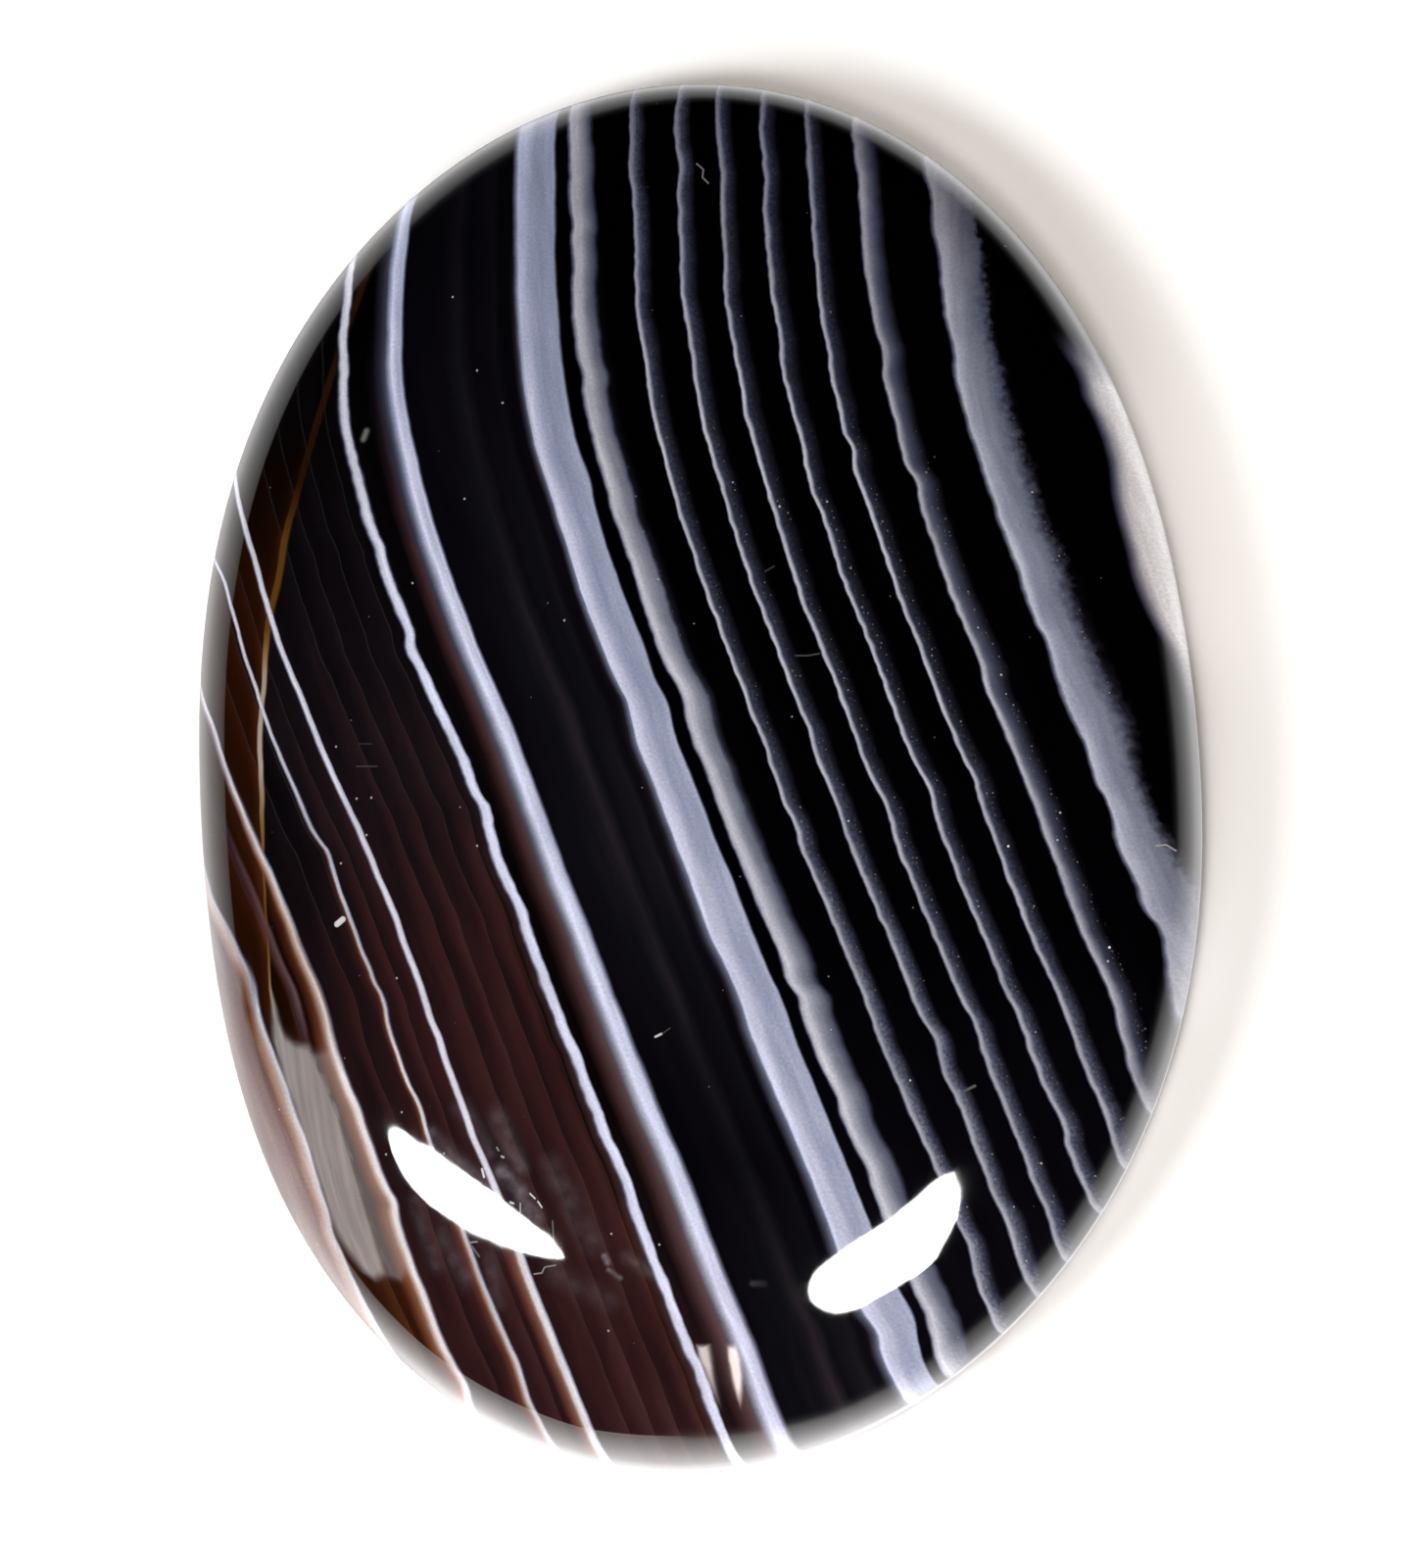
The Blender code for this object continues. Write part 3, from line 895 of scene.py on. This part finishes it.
def clear_levels(nodes, pattern):
    """Level of the clear stone between the bands, field by field from the left."""
    level = None
    for seam, stops in FIELDS:
        field = nodes.curve(pattern.row, stops, 0.0, 100.0)
        if seam is None:
            level = field
            continue
        if seam == "ripple":
            share = pattern.share(nodes, "ripple", "blade")
            field = nodes.math("MULTIPLY", field, nodes.curve(share, RIPPLE_FIELD, 0.0, 2.0))
        if seam == "blade":
            share = pattern.share(nodes, "blade", "broad_left")
            field = nodes.math("MULTIPLY", field, nodes.curve(share, BLADE_FIELD, 0.0, 2.0))
        level = nodes.mix(nodes.step(pattern.from_seam[seam], *FIELD_EDGE), level, field)
    smoke = nodes.slope(nodes.noise(pattern.flow, 0.05, 3.0), 0.25, 0.75, 0.8, 1.2)
    return nodes.math("MULTIPLY", level, smoke)


def lit_share(nodes):
    """Light on a slope of the stone, as a share of that on level ground."""
    normal = nodes.add("ShaderNodeTexCoord", {}, output="Normal")
    split = nodes.tree.nodes.new("ShaderNodeSeparateXYZ")
    nodes.tree.links.new(normal, split.inputs[0])
    x, y, z = split.outputs
    whole = sum(lamp[1] for lamp in LAMPS)
    lean_x, lean_y = (sum(share * turn(math.radians(azimuth)) / math.tan(math.radians(elevation))
                          for _, share, azimuth, elevation, *_ in LAMPS) / whole
                      for turn in (math.cos, math.sin))
    lit = nodes.math("MULTIPLY_ADD", x, lean_x,
                     nodes.math("MULTIPLY_ADD", y, lean_y, nodes.math("ABSOLUTE", z)))
    low, high = LIT_RANGE
    return nodes.math("MINIMUM", nodes.math("MAXIMUM", lit, low), high)


def clear_colour(nodes, pattern):
    """Colour of the clear stone, brown on the left and black on the right, and faint crests."""
    level = clear_levels(nodes, pattern)
    ghost = pattern.from_seam["ghost"]
    soft = nodes.slope(pattern.row, *CLEAR_EDGE)
    clear = nodes.step(ghost, soft, nodes.math("MULTIPLY", soft, -1.0))
    for start, end in CLEAR_ROWS:
        clear = nodes.math("MULTIPLY", clear, nodes.step(pattern.row, start, end))
    shine = nodes.step(ghost, *CLEAR_SHINE)
    brown = nodes.math("MULTIPLY", nodes.curve(pattern.row, CLEAR_LEVELS, 0.0, 100.0), shine)
    growth, crest = faint_lines(nodes, pattern)
    level = nodes.math("MULTIPLY", nodes.mix(clear, level, brown), growth)
    ripple = pattern.from_seam["ripple"]
    rusty = nodes.math("MAXIMUM", clear, nodes.step(pattern.from_seam["amber"], *RUSTY_SIDE))
    beside = nodes.math("MULTIPLY", nodes.step(ripple, *RUSTY_START),
                        nodes.step(ripple, *RUSTY_END))
    beside = nodes.math("MULTIPLY", beside, nodes.step(pattern.row, *RUSTY_ROWS))
    darker = nodes.math("MULTIPLY", nodes.step(ripple, *DARK_SIDE),
                        nodes.step(pattern.row, *DARK_ROWS))
    darker = nodes.math("MULTIPLY", beside, darker)
    level = nodes.math("MULTIPLY", level, nodes.math("SUBTRACT", 1.0, darker))
    rusty = nodes.math("MAXIMUM", rusty, beside)
    smoky = nodes.math("MAXIMUM", nodes.step(pattern.from_seam["blade"], *FIELD_EDGE),
                       nodes.step(pattern.row, *SMOKY_ROWS))
    tint = nodes.colour("MIX", smoky, nodes.tint(level, MAROON), nodes.tint(level, SMOKE))
    tint = nodes.colour("MIX", rusty, tint, nodes.tint(level, RUST))
    return nodes.colour("MULTIPLY", 1.0, tint, nodes.light(level)), crest


def white_colour(nodes, pattern):
    """Colour of the white layers, and the place across the fine ones."""
    total, band_tint, fine_place = band_levels(nodes, pattern)
    white = nodes.colour("MIX", nodes.clamp(band_tint),
                         nodes.tint(total, PLAIN_WHITE), nodes.tint(total, BLUE_WHITE))
    white = nodes.colour("MIX", nodes.clamp(nodes.math("MULTIPLY", band_tint, -1.0)),
                         white, nodes.tint(total, BROWN_WHITE))
    return nodes.colour("MULTIPLY", 1.0, white, nodes.light(total)), fine_place


def golden_colour(nodes, pattern):
    """Colour of the upright seam in the clear brown stone."""
    width = nodes.curve(pattern.row, GHOST_WIDTH, 0.0, 3.0)
    place = nodes.math("DIVIDE", pattern.from_seam["ghost"], width)
    shape = nodes.curve(place, GHOST_SHAPE, 0.0, 1.0)
    seam = nodes.curve(pattern.row, GHOST_LEVELS, 0.0, 255.0)
    return nodes.colour("MULTIPLY", 1.0, nodes.tint(seam, GOLD),
                        nodes.light(nodes.math("MULTIPLY", seam, shape)))


def agate_colour(nodes):
    pattern = Pattern(nodes)
    ground, crest = clear_colour(nodes, pattern)
    white, fine_place = white_colour(nodes, pattern)
    colour = nodes.colour("ADD", 1.0, ground, white)
    colour = nodes.colour("LIGHTEN", 1.0, colour, golden_colour(nodes, pattern))

    # Specks, dust, hairs, chips and scratches, and painted glints near the lamps' reflections
    dots = nodes.math("MAXIMUM", speck_levels(nodes, pattern, fine_place),
                      stroke_levels(nodes, pattern, MARKS_AND_GLINTS))
    dots = nodes.math("MAXIMUM", dots, dust_levels(nodes, pattern))
    dots = nodes.math("MAXIMUM", dots, crest)
    dots = nodes.math("MULTIPLY", nodes.light(dots), 1 / TINT_SPAN)
    colour = nodes.colour("LIGHTEN", 1.0, colour, nodes.add(
        "ShaderNodeCombineColor", {0: dots, 1: dots, 2: dots}))
    # Painted glare of the smudges near the lamps' reflections, added to the colour
    lit_smudges = nodes.math("MULTIPLY", nodes.light(smudge_glare_levels(nodes, pattern)), 1 / TINT_SPAN)
    colour = nodes.colour("ADD", 1.0, colour,
                          nodes.colour("MULTIPLY", 1.0, SMUDGE_GLARE_COLOUR, lit_smudges))
    return nodes.colour("DIVIDE", 1.0, colour, lit_share(nodes)), pattern


def agate_material():
    material = bpy.data.materials.new("banded_agate")
    material.use_nodes = True
    shader = material.node_tree.nodes["Principled BSDF"]
    shader.inputs["IOR"].default_value = AGATE_IOR
    nodes = Nodes(material.node_tree)
    colour, pattern = agate_colour(nodes)
    nodes.tree.links.new(colour, shader.inputs["Base Color"])
    polish = nodes.slope(nodes.noise(pattern.place, 0.02, 3.0), 0.3, 0.7, *POLISH_ROUGHNESS)
    nodes.tree.links.new(polish, shader.inputs["Roughness"])
    waves = nodes.add("ShaderNodeBump", {"Distance": POLISH_WAVES,
                                         "Height": nodes.noise(pattern.place, 0.03, 2.0)})
    nodes.tree.links.new(waves, shader.inputs["Normal"])
    return material


def add_stone():
    stone = bpy.data.objects.new("agate_stone", stone_mesh())
    bpy.context.scene.collection.objects.link(stone)
    stone.data.materials.append(agate_material())
    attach(stone, "root")
    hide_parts("cabochon")
    return stone


# The stage

def plain_material(name, colour):
    material = bpy.data.materials.new(name)
    material.use_nodes = True
    shader = material.node_tree.nodes["Principled BSDF"]
    shader.inputs["Base Color"].default_value = colour
    shader.inputs["Roughness"].default_value = 1.0
    shader.inputs["Specular IOR Level"].default_value = 0.0
    return material


def add_floor():
    reach = 3.0
    mesh = bpy.data.meshes.new("floor")
    mesh.from_pydata([(-reach, -reach, 0), (reach, -reach, 0), (reach, reach, 0),
                      (-reach, reach, 0)], [], [(0, 1, 2, 3)])
    floor = bpy.data.objects.new("floor", mesh)
    bpy.context.scene.collection.objects.link(floor)
    mesh.materials.append(plain_material("pale_floor", FLOOR_ALBEDO))
    floor.visible_glossy = False


def add_sun(name, share, azimuth, elevation, spread, colour):
    azimuth, elevation = math.radians(azimuth), math.radians(elevation)
    data = bpy.data.lights.new(name, "SUN")
    data.energy = share * FLOOR_WHITE / math.sin(elevation)
    data.angle = math.radians(spread)
    data.color = colour
    sun = bpy.data.objects.new(name, data)
    towards = Vector((math.cos(azimuth) * math.cos(elevation),
                      math.sin(azimuth) * math.cos(elevation), math.sin(elevation)))
    sun.rotation_mode = "QUATERNION"
    sun.rotation_quaternion = towards.to_track_quat("Z", "Y")
    sun.location = towards
    sun.visible_glossy = False
    bpy.context.scene.collection.objects.link(sun)


def lamp_material(name, strength, colour, streaky):
    """Glows where the mesh's own value "glow" is 1 and is clear where it is 0."""
    material = bpy.data.materials.new(name)
    material.use_nodes = True
    tree = material.node_tree
    tree.nodes.clear()
    nodes = Nodes(tree)
    glow = nodes.add("ShaderNodeAttribute", {}, output="Fac", attribute_name="glow")
    glow = nodes.math("MULTIPLY", glow, glow)
    if streaky:
        place = nodes.add("ShaderNodeTexCoord", {}, output="Generated")
        place = nodes.vector("MULTIPLY", place, (14.0, 2.5, 2.5))
        strength = nodes.slope(nodes.add("ShaderNodeTexNoise", {"Vector": place, "Scale": 1.0}),
                               0.3, 0.7, strength * (1 - streaky), strength * (1 + streaky))
    light = nodes.add("ShaderNodeEmission", {"Color": colour, "Strength": strength})
    clear = nodes.add("ShaderNodeBsdfTransparent", {})
    mixed = nodes.add("ShaderNodeMixShader", {0: glow, 1: clear, 2: light})
    out = tree.nodes.new("ShaderNodeOutputMaterial")
    tree.links.new(mixed, out.inputs[0])
    return material


def mirrored(column, row, distance):
    """Place, at a distance, that the polish mirrors at a pixel of the photo."""
    point = on_dome(column, row)
    ray = photo_ray(column, row)
    normal = dome_normal(point)
    return point + (ray - 2 * ray.dot(normal) * normal) * distance


def add_card(name, outline, strength, colour=(1.0, 1.0, 1.0, 1.0), edge=None, streaky=0.0,
             distance=0.3):
    """A lamp whose reflection has this outline in the photo, soft out to an outer edge."""
    inner = [mirrored(column, row, distance) for column, row in outline]
    outer = [mirrored(column, row, distance) for column, row in edge or ()]
    count = len(inner)
    faces = [tuple(range(count))]
    if outer:
        faces += [(step, count + step, count + (step + 1) % count, (step + 1) % count)
                  for step in range(count)]
    mesh = bpy.data.meshes.new(name)
    mesh.from_pydata(inner + outer, [], faces)
    glow = mesh.attributes.new("glow", "FLOAT", "POINT")
    for index, value in enumerate(glow.data):
        value.value = 1.0 if index < count else 0.0
    card = bpy.data.objects.new(name, mesh)
    bpy.context.scene.collection.objects.link(card)
    mesh.materials.append(lamp_material(name, strength, colour, streaky))
    card.visible_camera = False
    card.visible_diffuse = False
    card.visible_shadow = False


# Outlines of the reflections in the photo
LEFT_LAMP = ((397, 1153), (401, 1150), (407, 1151), (414, 1155), (420, 1160), (427, 1165),
             (437, 1169), (445, 1175), (455, 1182), (465, 1189), (475, 1196), (485, 1204),
             (500, 1214), (510, 1221), (520, 1230), (530, 1238), (540, 1246), (550, 1254),
             (560, 1260), (567, 1268), (573, 1277), (576, 1284), (570, 1285), (550, 1282),
             (530, 1277), (508, 1270), (498, 1265), (485, 1260), (473, 1253), (460, 1245),
             (440, 1231), (430, 1222), (420, 1211), (412, 1200), (405, 1187), (400, 1175),
             (397, 1163))
RIGHT_LAMP = ((825, 1318), (826, 1308), (830, 1300), (836, 1293), (845, 1286), (865, 1272),
              (880, 1262), (897, 1251), (910, 1243), (921, 1233), (935, 1222), (945, 1213),
              (955, 1204), (965, 1199), (974, 1196), (977, 1203), (981, 1214), (981, 1222),
              (979, 1232), (977, 1244), (973, 1251), (969, 1260), (962, 1272), (957, 1283),
              (950, 1291), (940, 1299), (928, 1306), (917, 1313), (905, 1320), (890, 1328),
              (878, 1335), (865, 1339), (853, 1341), (842, 1338), (833, 1333), (827, 1327))
LEFT_STREAK = ((714, 1376), (721, 1375), (723, 1385), (724, 1393), (722, 1396), (717, 1388))
LEFT_STREAK_EDGE = ((708, 1370), (727, 1370), (729, 1387), (733, 1415), (739, 1443), (712, 1396))
RIGHT_STREAK = ((745, 1377), (750, 1377), (753, 1388), (755, 1402), (755, 1414), (752, 1416),
                (749, 1404), (746, 1390))
RIGHT_STREAK_EDGE = ((741, 1370), (752, 1370), (758, 1388), (760, 1404), (760, 1424),
                     (757, 1442), (747, 1412), (743, 1388))
PATCH = ((278, 1018), (282, 1042), (290, 1062), (302, 1070), (314, 1072), (324, 1092),
         (336, 1120), (346, 1145), (356, 1180), (366, 1215), (376, 1250), (386, 1285),
         (388, 1297), (380, 1301), (368, 1287), (354, 1268), (342, 1243), (332, 1212),
         (319, 1172), (304, 1128), (291, 1092), (282, 1064))
PATCH_EDGE = ((275, 998), (286, 1034), (292, 1053), (302, 1061), (317, 1062), (329, 1086),
              (342, 1114), (353, 1140), (363, 1175), (373, 1210), (384, 1245), (396, 1280),
              (403, 1302), (384, 1311), (364, 1296), (348, 1276), (334, 1252), (323, 1217),
              (308, 1176), (292, 1132), (280, 1094), (275, 1058))
DIM_PATCH = ((320, 1080), (334, 1108), (347, 1140), (358, 1178), (370, 1215), (381, 1250),
             (393, 1285), (399, 1300), (408, 1304), (412, 1292), (404, 1262), (394, 1232),
             (384, 1200), (374, 1165), (361, 1130), (348, 1098), (334, 1076))
DIM_PATCH_EDGE = ((313, 1070), (327, 1106), (340, 1140), (351, 1180), (363, 1217), (374, 1252),
                  (386, 1287), (394, 1307), (412, 1312), (421, 1296), (413, 1260), (403, 1228),
                  (393, 1196), (383, 1160), (370, 1124), (356, 1090), (334, 1064))
LAMP_RADIANCE = 32.0
LEFT_STREAK_RADIANCE, RIGHT_STREAK_RADIANCE = 15.0, 22.0
PATCH_RADIANCE, DIM_PATCH_RADIANCE = 5.6, 2.2
PATCH_STREAKS = 0.2                   # share by which the lit patch is streaky
STREAK_COLOUR = (1.0, 0.86, 0.82, 1.0)
PATCH_COLOUR = (1.0, 0.92, 0.9, 1.0)


def add_lights():
    for lamp in LAMPS:
        add_sun(*lamp)
    add_card("left_glare", LEFT_LAMP, LAMP_RADIANCE)
    add_card("right_glare", RIGHT_LAMP, LAMP_RADIANCE)
    add_card("left_streak", LEFT_STREAK, LEFT_STREAK_RADIANCE, STREAK_COLOUR, LEFT_STREAK_EDGE)
    add_card("right_streak", RIGHT_STREAK, RIGHT_STREAK_RADIANCE, STREAK_COLOUR,
             RIGHT_STREAK_EDGE)
    add_card("lit_patch", PATCH, PATCH_RADIANCE, PATCH_COLOUR, PATCH_EDGE, PATCH_STREAKS)
    add_card("dim_patch", DIM_PATCH, DIM_PATCH_RADIANCE, PATCH_COLOUR, DIM_PATCH_EDGE)


def ground_glow(nodes):
    """Radiance that the polish mirrors from each side: pale ground below, dark above."""
    towards = nodes.add("ShaderNodeTexCoord", {}, output="Generated")
    split = nodes.tree.nodes.new("ShaderNodeSeparateXYZ")
    nodes.tree.links.new(towards, split.inputs[0])
    x, y, z = split.outputs
    level_way = nodes.vector("NORMALIZE", nodes.plane(x, y))
    split = nodes.tree.nodes.new("ShaderNodeSeparateXYZ")
    nodes.tree.links.new(level_way, split.inputs[0])
    x, y, _ = split.outputs
    depth = nodes.math("SUBTRACT", nodes.curve(y, GROUND_EDGE, -1.0, 1.0), z)
    aslant = nodes.math("MULTIPLY", x, nodes.math("ABSOLUTE", y))
    depth = nodes.math("MULTIPLY_ADD", aslant, -0.08, depth)
    near_left = nodes.math("MULTIPLY", nodes.step(x, -0.02, -0.16), nodes.step(y, -0.3, -0.6))
    crisp = nodes.math("MAXIMUM", nodes.step(x, -0.5, -0.95), near_left)
    inside = nodes.step(depth, 0.0, 0.025)
    lift = nodes.math("MULTIPLY_ADD", nodes.math("MULTIPLY", crisp, inside), 0.06, depth)
    line = nodes.math("MULTIPLY", nodes.step(depth, 0.045, 0.025), near_left)
    glow = nodes.math("MULTIPLY", nodes.curve(lift, GROUND_GLOW, 0.0, 1.0),
                      nodes.math("MULTIPLY_ADD", line, 0.35, 1.0))
    glow = nodes.math("MULTIPLY", glow, nodes.mix(crisp, 1.0, inside))
    under = nodes.slope(y, 1.0, 0.3, *GROUND_UNDER)
    glow = nodes.math("MULTIPLY", glow, nodes.mix(nodes.step(z, -1.0, -0.6), under, 1.0))
    towards = nodes.math("MULTIPLY_ADD", x, math.cos(BRIGHT_AZIMUTH),
                         nodes.math("MULTIPLY", y, math.sin(BRIGHT_AZIMUTH)))
    shine = nodes.math("MULTIPLY_ADD", x, 0.4,
                       nodes.step(towards, 0.55, 0.95, GROUND_SHINE, GROUND_SHINE + BRIGHT_GAIN))
    return nodes.math("MULTIPLY", glow, shine)


def add_world():
    """White for the camera, behind the floor; the polish mirrors pale ground and dark above."""
    world = bpy.data.worlds.new("studio")
    bpy.context.scene.world = world
    world.use_nodes = True
    world.cycles_visibility.diffuse = False
    tree = world.node_tree
    tree.nodes.clear()
    nodes = Nodes(tree)
    path = tree.nodes.new("ShaderNodeLightPath")
    strength = nodes.mix(path.outputs["Is Camera Ray"], ground_glow(nodes), 1.0)
    background = nodes.add("ShaderNodeBackground", {"Strength": strength})
    out = tree.nodes.new("ShaderNodeOutputWorld")
    tree.links.new(background, out.inputs[0])
    background.node.inputs["Color"].default_value = (1.0, 0.98, 0.975, 1.0)


bpy.context.scene.view_settings.view_transform = "Standard"
bpy.context.scene.view_settings.look = "None"
add_camera()
add_stone()
add_floor()
add_lights()
add_world()
